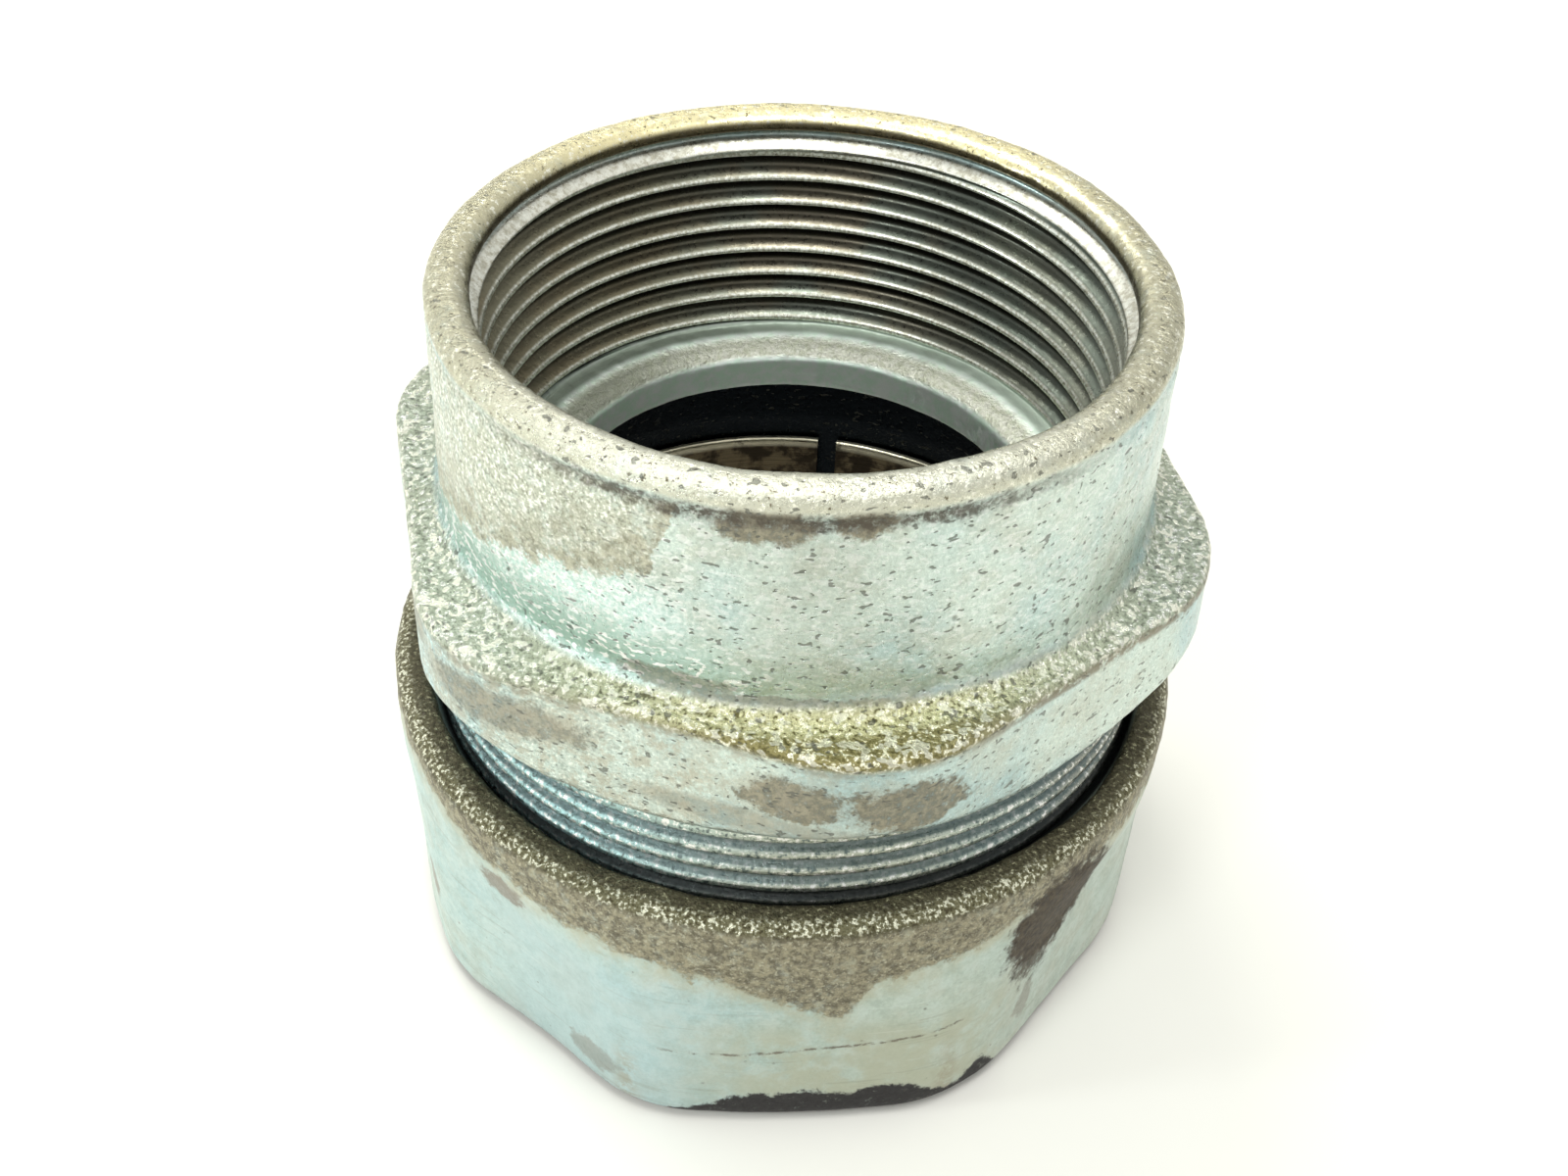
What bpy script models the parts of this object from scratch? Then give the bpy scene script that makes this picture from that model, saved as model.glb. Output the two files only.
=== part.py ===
"""Pipe union: a threaded hub and hexagonal flange in one body, an octagonal compression nut
on its lower spigot, and a split compression ring inside.

Frame: metres, +Z up along the bore, origin on the axis at the nut's bottom face.
Dimensions are in millimetres and scaled on writing; a name ending in _R is a radius,
and one ending in _Z is a height above the nut's bottom face.
"""
import math

import bmesh
import bpy

MM = 0.001
COLUMNS = 48                # columns round every turned piece
MERGE_DISTANCE = 2e-6       # metres
SHARP_ANGLE = math.radians(28)
THREAD_END_SNAP = 0.02      # thread points this near an end drop onto its plain circle

# ---- hub ----
RIM_Z = 85.0
HUB_TOP_R = 38.7            # outside, under the rim
HUB_BASE_R = 39.1           # outside, above the flange fillet
RIM_INNER_R, RIM_OUTER_R = 35.5, 37.0   # flat on top of the rim
LIP_R = 34.1                # inside of the rounded lip

# ---- tapered pipe thread in the hub: 8 per inch, right hand ----
PIPE_PITCH = 25.4 / 8
PIPE_DEPTH = 1.55
PIPE_TAPER = 1.0 / 32.0     # radius lost per millimetre below the rim
PIPE_CREST_R = 33.6         # crest, carried up to the rim's height
PIPE_TOP_END_R = 33.44
PIPE_LOW_Z, PIPE_HIGH_Z = 57.7, 79.9
PIPE_START_Z = RIM_Z - 9.75 - PIPE_PITCH / 8.0
PIPE_RELIEF_R = 34.85

# ---- throat, socket and ring seat, going down the body's bore ----
THROAT_R = 27.4             # smallest bore, the stop between hub and socket
THROAT_LOW_Z, THROAT_HIGH_Z = 50.9, 54.2
SOCKET_R = 37.2             # smooth socket for the plain pipe
SOCKET_TOP_Z = 50.2
SOCKET_EDGE = 0.6           # bevel at the socket's inner end
SEAT_TOP_Z = 38.0           # cone that squeezes the ring, wider towards the spigot's end
SEAT_TOP_R, SEAT_END_R = 37.3, 38.95

# ---- hexagonal flange ----
FLANGE_APOTHEM = 42.6
FLANGE_CORNER_R = 46.2
FLANGE_PHASE = math.radians(-4.0)       # direction of the first corner
FLANGE_LOW_Z, FLANGE_HIGH_Z = 45.2, 59.0
CHAMFER_RISE = 1.05         # underside cone, millimetres up per millimetre out

# ---- gland thread between spigot and nut: 10 per inch, right hand ----
GLAND_PITCH = 25.4 / 10
GLAND_DEPTH = 1.1
GLAND_GAP = 0.4             # radial gap between the two threads
SPIGOT_CREST_R = 41.3
SPIGOT_ROOT_R = SPIGOT_CREST_R - GLAND_DEPTH
SPIGOT_END_Z = 23.0
SPIGOT_THREAD_LOW_Z, SPIGOT_THREAD_HIGH_Z = 23.8, 43.5
NUT_ROOT_R = SPIGOT_CREST_R + GLAND_GAP
NUT_CREST_R = SPIGOT_ROOT_R + GLAND_GAP
NUT_THREAD_LOW_Z, NUT_THREAD_HIGH_Z = 19.0, 33.1

# ---- nut ----
NUT_TOP_Z = 35.3
NUT_TOP_R = 46.6            # the nut is round at its top
NUT_APOTHEM = 44.4          # and octagonal below
NUT_CORNER_R = 46.5
NUT_PHASE = math.radians(-6.0)
NUT_MOUTH_R = 42.5          # plain counterbore above the thread
NUT_BORE_R = 37.3           # pipe opening in the bottom
NUT_BORE_TOP_Z = 7.3
NUT_RELIEF_R = 41.9

# ---- compression ring ----
RING_BORE_R = 36.65
RING_LOW_Z, RING_HIGH_Z = 10.0, 35.4
RING_BORE_MID_Z = 28.0      # extra corner part-way up the bore
BELT_R = 38.85
BELT_LOW_Z, BELT_HIGH_Z = 17.0, 20.8
LOWER_CONE_SLOPE = 0.19     # radius lost per millimetre below the belt
RING_GAP = 0.35             # radial gap between the ring and both seats
SLIT_WIDTH = 2.6
SLIT_MEASURE_R = 38.0       # radius at which the slit's width is measured
SLIT_CENTRE = math.radians(96.5)
SLIT_MARGIN = 0.03          # radians kept clear of regular columns beside the slit


def clear_scene():
    for item in list(bpy.data.objects):
        bpy.data.objects.remove(item, do_unlink=True)
    for mesh in list(bpy.data.meshes):
        bpy.data.meshes.remove(mesh)
    for material in list(bpy.data.materials):
        bpy.data.materials.remove(material)


def metal(name, colour, roughness, metallic):
    material = bpy.data.materials.new(name)
    material.use_nodes = True
    inputs = material.node_tree.nodes["Principled BSDF"].inputs
    inputs["Base Color"].default_value = (*colour, 1.0)
    inputs["Roughness"].default_value = roughness
    inputs["Metallic"].default_value = metallic
    material.diffuse_color = (*colour, 1.0)
    return material


# ---- rows: each holds COLUMNS + 1 (radius, z) points, the last one closing the turn ----

def circles(*profile):
    """A round row for each (radius, z) of the profile."""
    return [[point] * (COLUMNS + 1) for point in profile]


def shaped(z, radius_at, phase):
    """A level row whose radius is a function of the angle."""
    row = [(radius_at(phase + 2.0 * math.pi * i / COLUMNS), z) for i in range(COLUMNS)]
    return row + [row[0]]


def polygon_radius(angle, sides, apothem, corner_r, phase):
    """Radius of a regular polygon whose corners are cut round at corner_r."""
    step = 2.0 * math.pi / sides
    from_mid_side = (angle - phase) % step - step / 2.0
    return min(apothem / math.cos(from_mid_side), corner_r)


def helix(low, high, pitch, radii, phase, start_z=0.0, taper=0.0, taper_z=0.0):
    """Rows of a right-hand thread, from the bottom up.

    low and high are the (radius, z) circles it ends on, and radii are its four radii at
    quarter pitches. Each row climbs one pitch per turn, and points past an end lie on that
    end's circle. start_z sets the thread's height at angle zero, and taper is the radius
    lost per millimetre below taper_z.
    """
    quarter = pitch / 4.0
    start = start_z + pitch * phase / (2.0 * math.pi)
    # Four more rows below, because each row climbs four quarters round its turn.
    first = math.floor((low[1] - start) / quarter) - 4
    last = math.ceil((high[1] - start) / quarter)
    rows = []
    for j in range(first, last + 1):
        row = []
        for i in range(COLUMNS + 1):
            z = start + pitch * i / COLUMNS + j * quarter
            if z <= low[1] + THREAD_END_SNAP:
                row.append(low)
            elif z >= high[1] - THREAD_END_SNAP:
                row.append(high)
            else:
                row.append((radii[j % 4] - taper * (taper_z - z), z))
        rows.append(row)
    return rows


# ---- solids ----

def add_vertex(bm, radius, angle, z):
    return bm.verts.new((radius * math.cos(angle) * MM, radius * math.sin(angle) * MM, z * MM))


def turned(name, rows, phase, material):
    """Join a closed loop of rows into one solid."""
    bm = bmesh.new()
    grid = [
        [add_vertex(bm, radius, phase + 2.0 * math.pi * (i % COLUMNS) / COLUMNS, z)
         for i, (radius, z) in enumerate(row)]
        for row in rows
    ]
    for row, following in zip(grid, grid[1:] + grid[:1]):
        for i in range(COLUMNS):
            bm.faces.new((row[i], row[i + 1], following[i + 1], following[i]))
    # Closes the seam and collapses thread points that share an end circle.
    bmesh.ops.remove_doubles(bm, verts=bm.verts, dist=MERGE_DISTANCE)
    finish(name, bm, material)


def finish(name, bm, material):
    """Triangulate, turn the faces outward and put the solid in the scene."""
    bmesh.ops.dissolve_degenerate(bm, dist=1e-7, edges=bm.edges)
    bmesh.ops.triangulate(bm, faces=bm.faces)
    bmesh.ops.recalc_face_normals(bm, faces=bm.faces)
    if bm.calc_volume(signed=True) < 0:
        bmesh.ops.reverse_faces(bm, faces=bm.faces)
    mesh = bpy.data.meshes.new(name)
    bm.to_mesh(mesh)
    bm.free()
    mesh.materials.append(material)
    mesh.shade_smooth()
    mesh.set_sharp_from_angle(angle=SHARP_ANGLE)
    bpy.context.scene.collection.objects.link(bpy.data.objects.new(name, mesh))


# ---- cones shared by the ring and its seats ----

def seat_radius(z):
    """The body's cone, round the ring's upper end."""
    along = (z - SPIGOT_END_Z) / (SEAT_TOP_Z - SPIGOT_END_Z)
    return SEAT_END_R + (SEAT_TOP_R - SEAT_END_R) * along


def ring_lower_radius(z):
    """The ring's own cone, from its belt down to its bottom end."""
    return BELT_R - (BELT_LOW_Z - z) * LOWER_CONE_SLOPE


# ---- pieces ----

def flange_row(z, inset=0.0, limit=math.inf):
    """A hexagon row, set in from the full size and cut round at the limit radius."""
    def radius_at(angle):
        hexagon = polygon_radius(
            angle, 6, FLANGE_APOTHEM - inset, FLANGE_CORNER_R - inset, FLANGE_PHASE)
        return min(hexagon, limit)
    return shaped(z, radius_at, FLANGE_PHASE)


def build_body():
    """Hub, flange, throat and threaded spigot: down the outside, then up the bore."""
    rows = circles(
        (RIM_INNER_R, RIM_Z), (RIM_OUTER_R, RIM_Z),
        (38.05, RIM_Z - 0.5), (38.6, RIM_Z - 1.4), (HUB_TOP_R, RIM_Z - 2.8),
        (HUB_BASE_R, FLANGE_HIGH_Z + 2.4),
        (39.6, FLANGE_HIGH_Z + 0.9), (40.6, FLANGE_HIGH_Z + 0.15),
    )
    # Flange top edge: depth below the top, inset
    for depth, inset in ((0.05, 1.5), (0.45, 0.5), (1.5, 0.0)):
        rows.append(flange_row(FLANGE_HIGH_Z - depth, inset))
    rows.append(flange_row(FLANGE_LOW_Z + 3.9))
    # Flange underside, turned to a cone
    for rise in (2.9, 1.9, 0.9, 0.0):
        cone_r = FLANGE_APOTHEM + rise / CHAMFER_RISE
        rows.append(flange_row(FLANGE_LOW_Z + rise, limit=cone_r))

    rows += circles((SPIGOT_CREST_R, FLANGE_LOW_Z - 1.3))
    rows += reversed(helix(
        low=(SPIGOT_ROOT_R, SPIGOT_THREAD_LOW_Z), high=(SPIGOT_CREST_R, SPIGOT_THREAD_HIGH_Z),
        pitch=GLAND_PITCH, phase=FLANGE_PHASE,
        radii=(SPIGOT_CREST_R, SPIGOT_CREST_R, SPIGOT_ROOT_R, SPIGOT_ROOT_R)))
    rows += circles(
        (SPIGOT_ROOT_R - 0.25, SPIGOT_END_Z),
        # Ring seat and socket
        (SEAT_END_R, SPIGOT_END_Z), (SEAT_TOP_R, SEAT_TOP_Z), (SOCKET_R, SEAT_TOP_Z + 0.6),
        (SOCKET_R, SOCKET_TOP_Z - SOCKET_EDGE), (SOCKET_R - SOCKET_EDGE, SOCKET_TOP_Z),
        # Throat, opening upward to the thread relief
        (THROAT_R + 0.7, SOCKET_TOP_Z), (THROAT_R, THROAT_LOW_Z),
        (THROAT_R, THROAT_HIGH_Z), (THROAT_R + 0.8, THROAT_HIGH_Z + 0.75),
        (31.2, 55.6), (33.4, 56.4), (PIPE_RELIEF_R, 57.3),
    )
    root_r = PIPE_CREST_R + PIPE_DEPTH
    rows += helix(
        low=(PIPE_RELIEF_R, PIPE_LOW_Z), high=(PIPE_TOP_END_R, PIPE_HIGH_Z),
        pitch=PIPE_PITCH, phase=FLANGE_PHASE,
        radii=(PIPE_CREST_R, PIPE_CREST_R, root_r, root_r),
        start_z=PIPE_START_Z, taper=PIPE_TAPER, taper_z=RIM_Z)
    rows += circles((LIP_R, RIM_Z - 3.4), (LIP_R, RIM_Z - 1.5), (34.55, RIM_Z - 0.55))
    material = metal("zinc_body", colour=(0.50, 0.60, 0.57), roughness=0.42, metallic=0.85)
    turned("union_body", rows, FLANGE_PHASE, material)


def nut_side_row(z, mix, inset):
    """A row of the nut's side: mix 0 is round, mix 1 is the octagon."""
    def radius_at(angle):
        octagon = polygon_radius(angle, 8, NUT_APOTHEM - inset, NUT_CORNER_R - inset, NUT_PHASE)
        return NUT_TOP_R * (1.0 - mix) + octagon * mix
    return shaped(z, radius_at, NUT_PHASE)


def build_nut():
    """Compression nut: over the mouth's rim, down the outside, then up the bore."""
    rows = circles(
        (NUT_MOUTH_R, NUT_TOP_Z - 0.5), (NUT_MOUTH_R + 0.4, NUT_TOP_Z),
        (44.9, NUT_TOP_Z - 0.35), (46.0, NUT_TOP_Z - 1.1), (NUT_TOP_R, NUT_TOP_Z - 2.4),
    )
    # z, mix, inset
    for z, mix, inset in (
        (29.0, 0.0, 0.0), (25.0, 0.55, 0.0), (21.0, 1.0, 0.0),
        (3.2, 1.0, 0.0), (1.1, 1.0, 0.7), (0.0, 1.0, 2.6),
    ):
        rows.append(nut_side_row(z, mix, inset))
    rows += circles(
        (NUT_BORE_R + 0.6, 0.0), (NUT_BORE_R, 0.7), (NUT_BORE_R, NUT_BORE_TOP_Z),
        # Seat round the ring's lower cone
        (ring_lower_radius(RING_LOW_Z) + RING_GAP, RING_LOW_Z),
        (BELT_R + RING_GAP, BELT_LOW_Z), (NUT_RELIEF_R, BELT_LOW_Z + 0.7),
    )
    rows += helix(
        low=(NUT_RELIEF_R, NUT_THREAD_LOW_Z), high=(NUT_ROOT_R + 0.1, NUT_THREAD_HIGH_Z),
        pitch=GLAND_PITCH, phase=NUT_PHASE,
        radii=(NUT_ROOT_R, NUT_ROOT_R, NUT_CREST_R, NUT_CREST_R))
    rows += circles((NUT_MOUTH_R, NUT_THREAD_HIGH_Z + 0.6))
    material = metal("zinc_nut", colour=(0.52, 0.62, 0.60), roughness=0.45, metallic=0.8)
    turned("compression_nut", rows, NUT_PHASE, material)


def build_ring():
    """Compression ring, a wedge at each end, open at one slit."""
    # radius, z: up the outside from the bottom, then down the bore
    section = [
        (RING_BORE_R, RING_LOW_Z), (ring_lower_radius(RING_LOW_Z), RING_LOW_Z),
        (BELT_R, BELT_LOW_Z), (BELT_R, BELT_HIGH_Z),
        (seat_radius(SPIGOT_END_Z) - RING_GAP, SPIGOT_END_Z),
        (seat_radius(RING_HIGH_Z) - RING_GAP, RING_HIGH_Z),
        (RING_BORE_R, RING_HIGH_Z), (RING_BORE_R, RING_BORE_MID_Z), (RING_BORE_R, BELT_LOW_Z),
    ]
    half_slit = SLIT_WIDTH / SLIT_MEASURE_R / 2.0
    start = SLIT_CENTRE + half_slit
    stop = SLIT_CENTRE + 2.0 * math.pi - half_slit
    columns = [i * 2.0 * math.pi / COLUMNS for i in range(COLUMNS * 2)]
    between = [a for a in columns if start + SLIT_MARGIN < a < stop - SLIT_MARGIN]

    bm = bmesh.new()
    grid = [[add_vertex(bm, radius, angle, z) for radius, z in section]
            for angle in [start, *between, stop]]
    for near, far in zip(grid, grid[1:]):
        for i in range(len(section)):
            j = (i + 1) % len(section)
            bm.faces.new((near[i], far[i], far[j], near[j]))
    # Faces either side of the slit
    bm.faces.new(grid[0])
    bm.faces.new(list(reversed(grid[-1])))
    material = metal("zinc_ring", colour=(0.45, 0.47, 0.40), roughness=0.4, metallic=0.9)
    finish("compression_ring", bm, material)


clear_scene()
build_body()
build_nut()
build_ring()
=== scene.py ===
"""Pipe union in plated cast zinc: a body with a six-sided flange, an eight-sided gland nut below
it and a split ring between them. All three are turned about +Z. The nut's foot lies at z = 0 and
the body's threaded bore opens upwards. The camera looks down from the -Y side."""
import bpy
import bmesh
import math
import numpy as np
from functools import cached_property
from mathutils import Matrix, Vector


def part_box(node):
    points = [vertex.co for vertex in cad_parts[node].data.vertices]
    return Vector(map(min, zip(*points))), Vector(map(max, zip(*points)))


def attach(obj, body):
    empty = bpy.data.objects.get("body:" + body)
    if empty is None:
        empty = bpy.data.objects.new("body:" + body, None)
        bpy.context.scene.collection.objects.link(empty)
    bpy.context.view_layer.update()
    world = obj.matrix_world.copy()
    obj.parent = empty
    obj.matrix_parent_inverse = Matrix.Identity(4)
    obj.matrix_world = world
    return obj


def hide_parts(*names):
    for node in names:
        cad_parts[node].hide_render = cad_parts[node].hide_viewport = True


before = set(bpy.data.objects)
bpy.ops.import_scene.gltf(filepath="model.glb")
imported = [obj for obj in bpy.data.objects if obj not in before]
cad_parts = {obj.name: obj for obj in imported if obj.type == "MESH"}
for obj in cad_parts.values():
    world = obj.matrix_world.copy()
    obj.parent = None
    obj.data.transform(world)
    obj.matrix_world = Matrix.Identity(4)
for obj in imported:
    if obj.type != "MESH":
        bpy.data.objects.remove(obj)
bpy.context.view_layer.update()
MM = 0.001
COLUMNS = 640
VIEW_DEG = -77.0            # the azimuth that faces the camera


def z_range(piece):
    """Lowest and highest z of a CAD piece, in mm."""
    return [float((np.array(corner) / MM)[2]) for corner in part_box(piece)]


# ------------------------------------------------------------------ sizes, in mm
Z_END, Z_TOP = z_range("union_body")
NUT_H = z_range("compression_nut")[1]
Z_RING_LO, Z_RING_HI = z_range("compression_ring")

# tapered thread in the body's bore
NPT_PITCH, NPT_DEPTH, NPT_TAPER, NPT_CREST = 25.4 / 8, 1.5, 1.0 / 32.0, 33.6
NPT_TOP = Z_TOP - 5.1
NPT_START = Z_TOP - 9.75    # a crest's height at azimuth 0
# straight thread between the body's spigot and the nut
GLAND_PITCH, SPIGOT_R, GLAND_DEPTH, GLAND_GAP = 2.54, 41.3, 0.95, 0.4
SPIGOT_TOP = 44.1
# plain bores of the body, from the throat down to the conical seat
THROAT_R, SOCKET_R, SOCKET_TOP = 27.4, 37.2, 50.2
SEAT_TOP_R, SEAT_END_R, SEAT_TOP = 37.3, 38.95, 38.0
# the body's rim and hub, and the fillet between hub and flange
RIM_MID_R, RIM_HALF, RIM_H, RIM_POWER = 36.4, 2.3, 2.5, 0.8
HUB_R = RIM_MID_R + RIM_HALF
FILLET, FILLET_R, FILLET_Z = 2.35, 41.5, 61.5
# polygons: half the width across flats, corner radius from the axis, azimuth of one corner
FLANGE = dict(sides=6, apothem=42.6, corner=46.2, vertex_deg=-4.0)
NUT = dict(sides=8, apothem=44.4, corner=46.5, vertex_deg=-6.0)
FLANGE_SWELL = 0.12         # growth of the flange's sides towards their foot
FLANGE_EDGE = 1.0           # rounding of the flange's upper edge
NUT_ROUND, NUT_HOLE_R, NUT_FOOT_R, NUT_FOOT_H = 46.6, 37.3, 2.7, 3.0
# the ring's outside tapers below CONE_TOP, and the nut's cone follows it at a distance
RING_IN_R, RING_R, RING_GAP, RING_ROUND, RING_SPLIT = 36.65, 38.85, 0.35, 0.55, 2.6
CONE_TOP, CONE_LOW, CONE_SLOPE = 17.0, 10.0, 0.19
SPLIT_DEG = 96.5

# casting bumps: spacing, height, seed
BODY_BUMPS = [(17.0, 0.30, 1), (5.0, 0.13, 2), (1.9, 0.075, 3), (0.95, 0.05, 4)]
NUT_BUMPS = [(15.0, 0.32, 5), (4.6, 0.14, 6), (1.8, 0.075, 7), (0.95, 0.045, 8)]
RING_BUMPS = [(6.0, 0.05, 9), (1.5, 0.03, 10)]

# the nut's true radius, by azimuth in degrees, where the casting leaves the even octagon
NUT_SIDES = np.array([
    (-170, 45.3), (-162, 44.9), (-154, 45.4), (-147, 45.7), (-139, 46.3), (-131, 46.9),
    (-126, 46.6), (-118, 45.4), (-110, 45.3), (-103, 46.2), (-97, 47.4), (-92, 47.6),
    (-87, 47.2), (-80, 46.5), (-73, 46.2), (-66, 46.3), (-59, 46.8), (-53, 47.2),
    (-48, 46.9), (-42, 46.3), (-36, 45.2), (-30, 44.3), (-24, 44.0), (-17, 44.3),
    (-10, 44.9), (-3, 45.2), (4, 45.0), (12, 44.6), (22, 44.7)])

# ------------------------------------------------------------------ noise
_rng = np.random.RandomState(11)
PERM = np.concatenate([_rng.permutation(256)] * 3)
GRAD = _rng.normal(size=(256, 3))
GRAD /= np.linalg.norm(GRAD, axis=1)[:, None]


def noise(points):
    """Gradient noise, about -0.7 to 0.7."""
    cell = np.floor(points).astype(np.int64)
    x, y, z = np.moveaxis(points - cell, -1, 0)
    ease_x, ease_y, ease_z = (v * v * v * (v * (v * 6 - 15) + 10) for v in (x, y, z))
    total = 0.0
    for dx, dy, dz in np.ndindex(2, 2, 2):
        mixed = PERM[(cell[..., 0] + dx) & 255]
        mixed = PERM[mixed + ((cell[..., 1] + dy) & 255)]
        slope = GRAD[PERM[mixed + ((cell[..., 2] + dz) & 255)]]
        rise = slope[..., 0] * (x - dx) + slope[..., 1] * (y - dy) + slope[..., 2] * (z - dz)
        weight = ((ease_x if dx else 1 - ease_x) * (ease_y if dy else 1 - ease_y)
                  * (ease_z if dz else 1 - ease_z))
        total = total + rise * weight
    return total


def wobble(points, spacing, height, seed):
    """A smooth random vector for each point."""
    spot = points / spacing + seed * 17.31
    return height * np.stack([noise(spot), noise(spot + 41.7), noise(spot + 83.1)], -1)


def cast_bumps(points, bumps):
    return sum(wobble(points, *bump) for bump in bumps)


def smooth(start, end, value):
    """0 at start, 1 at end."""
    share = np.clip((np.asarray(value, float) - start) / (end - start), 0, 1)
    return share * share * (3 - 2 * share)


# ------------------------------------------------------------------ sections and turned meshes
def degrees_from(angles, centre):
    """Angles in radians as degrees either side of centre, -180 to 180."""
    return (np.degrees(angles) - centre + 180) % 360 - 180


def polygon_r(angles, sides, apothem, corner, vertex_deg):
    """Radius of a polygon whose corners are rounded so that they reach the radius corner."""
    step = 2 * math.pi / sides
    stretch = 1 / math.cos(math.pi / sides)
    rounding = max(0.3, (apothem * stretch - corner) / (stretch - 1))
    off = (angles - math.radians(vertex_deg) + step / 2) % step - step / 2
    inner = (apothem - rounding) * stretch
    arc = inner * np.cos(off) + np.sqrt(np.maximum(rounding ** 2 - (inner * np.sin(off)) ** 2, 0))
    flat = apothem / np.cos(step / 2 - np.abs(off))
    half_flat = (apothem - rounding) * math.tan(math.pi / sides)
    corner_half = math.pi / sides - math.atan2(half_flat, apothem)
    return np.where(np.abs(off) > corner_half, flat, arc)


def spline(points, count):
    """Points along a smooth curve through the given (r, z) pairs."""
    pts = np.array(points, float)
    lengths = np.concatenate([[0], np.cumsum(np.linalg.norm(np.diff(pts, axis=0), axis=1))])
    padded = np.vstack([2 * pts[0] - pts[1], pts, 2 * pts[-1] - pts[-2]])
    out = []
    for s in np.linspace(0, lengths[-1], count):
        k = min(max(int(np.searchsorted(lengths, s, side="right")) - 1, 0), len(pts) - 2)
        t = (s - lengths[k]) / (lengths[k + 1] - lengths[k])
        p0, p1, p2, p3 = padded[k:k + 4]
        out.append(0.5 * (2 * p1 + (p2 - p0) * t + (2 * p0 - 5 * p1 + 4 * p2 - p3) * t * t
                          + (3 * p1 - p0 - 3 * p2 + p3) * t ** 3))
    return out


class Turned:
    """Rows of radius and height round the axis that close into one skin.
    cast says how strongly a row takes the casting bumps."""

    def __init__(self, phase_deg=0.0):
        self.angles = math.radians(phase_deg) + np.arange(COLUMNS + 1) * 2 * math.pi / COLUMNS
        self.radii, self.heights, self.casts = [], [], []

    def row(self, radius, z, cast):
        one = np.ones(COLUMNS + 1)
        self.radii.append(one * radius)
        self.heights.append(one * z)
        self.casts.append(one * cast)

    def rows(self, points, cast):
        for radius, z in points:
            self.row(radius, z, cast)

    def line(self, start, end, steps, cast):
        for k in range(steps + 1):
            t = k / steps
            self.row(start[0] + (end[0] - start[0]) * t, start[1] + (end[1] - start[1]) * t, cast)

    def arc(self, centre, radii, degrees, cast):
        """centre and radii are (r, z); degrees is (start, end, count)."""
        for angle in np.radians(np.linspace(*degrees)):
            self.row(centre[0] + radii[0] * math.cos(angle),
                     centre[1] + radii[1] * math.sin(angle), cast)

    def thread(self, z_lo, z_hi, pitch, surface, down, per, cast):
        """surface(z, turn) gives the radius, where turn counts pitches along the helix.
        The rows, per to a pitch, climb with the thread, so its edges stay clean."""
        step = pitch / per
        climb = pitch * self.angles / (2 * math.pi)
        first = math.floor((z_lo - climb[0]) / step) - per
        last = math.ceil((z_hi - climb[0]) / step)
        levels = range(first, last + 1)
        # an end row has one radius all round, so that it meets the plain row beside it
        end_lo, end_hi = (float(np.min(surface(np.array([z]), np.array([0.0]))))
                          for z in (z_lo, z_hi))
        for j in (reversed(levels) if down else levels):
            z = climb + j * step
            z = np.where(z < z_lo + 0.35 * step, z_lo, np.where(z > z_hi - 0.35 * step, z_hi, z))
            radius = surface(z, (z - climb) / pitch)
            radius = np.where(z <= z_lo, end_lo, radius)
            self.row(np.where(z >= z_hi, end_hi, radius), z, cast)

    def mesh(self, name, relief):
        """relief(points, cast) returns how far each point moves."""
        radius, z, cast = map(np.array, (self.radii, self.heights, self.casts))
        angles = self.angles[None, :]
        points = np.stack([radius * np.cos(angles), radius * np.sin(angles), z], -1)
        # the last column lies on the first one's azimuth
        start = self.angles[0]
        points[:, -1, 0] = radius[:, -1] * math.cos(start)
        points[:, -1, 1] = radius[:, -1] * math.sin(start)
        points = points + relief(points, cast[..., None])
        here = np.arange(radius.size).reshape(radius.shape)
        below = np.roll(here, -1, axis=0)
        quads = np.stack([here[:, :-1], here[:, 1:], below[:, 1:], below[:, :-1]], -1)
        return skin(name, points.reshape(-1, 3), quads.reshape(-1, 4))


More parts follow.
